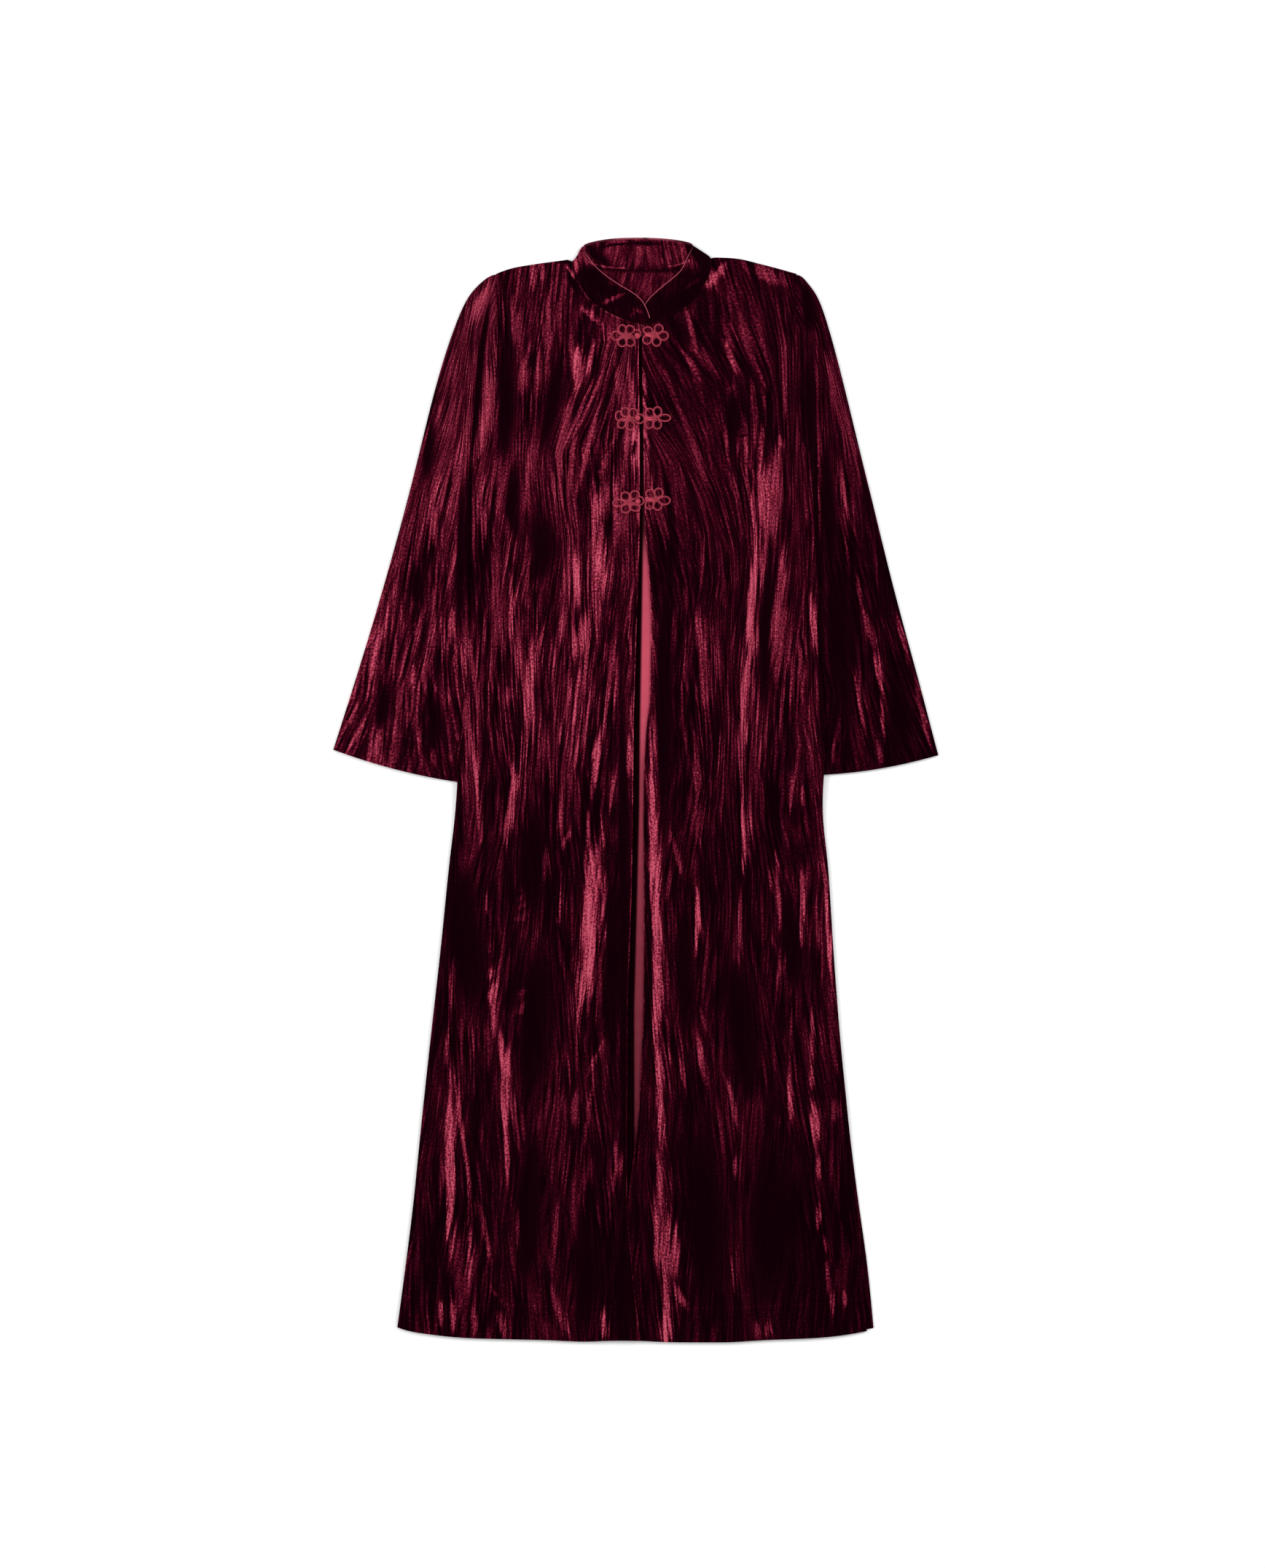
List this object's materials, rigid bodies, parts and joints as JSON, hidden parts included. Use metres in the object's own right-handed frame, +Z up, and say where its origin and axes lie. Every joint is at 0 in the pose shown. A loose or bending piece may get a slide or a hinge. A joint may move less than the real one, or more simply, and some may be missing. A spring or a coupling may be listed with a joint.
{
  "type": "kaftan coat",
  "caption": "Long flared kaftan coat in crushed velvet, open down the front, with stand collar, cord frogs, wide sleeves and satin lining, laid flat on its back.",
  "frame": {"origin": "centre of the coat's footprint, on the surface it lies on", "axes": "+Z up from the surface; +Y up the garment, from hem to collar; +X towards the wearer's left, the right of the picture"},
  "size_m": [0.7892, 1.4392, 0.0125],
  "materials": {
    "velvet": "burgundy crushed velvet, short pile pressed in streaks",
    "lining": "rose satin, soft sheen",
    "piping": "rose satin over a thin cord",
    "cord": "rose-red rayon cord, slight sheen"
  },
  "bodies": {
    "root": {"back": "velvet", "front_right": "velvet", "front_left": "velvet", "sleeve_right": "velvet", "sleeve_left": "velvet", "collar_right": "velvet", "collar_left": "velvet", "neck_facing": "velvet", "back_lining": "lining", "piping_right": "piping", "piping_left": "piping", "frog_right_1": "cord", "frog_right_2": "cord", "frog_right_3": "cord", "frog_left_1": "cord", "frog_left_2": "cord", "frog_left_3": "cord", "knot_1": "cord", "knot_2": "cord", "knot_3": "cord"}
  },
  "joints": []
}
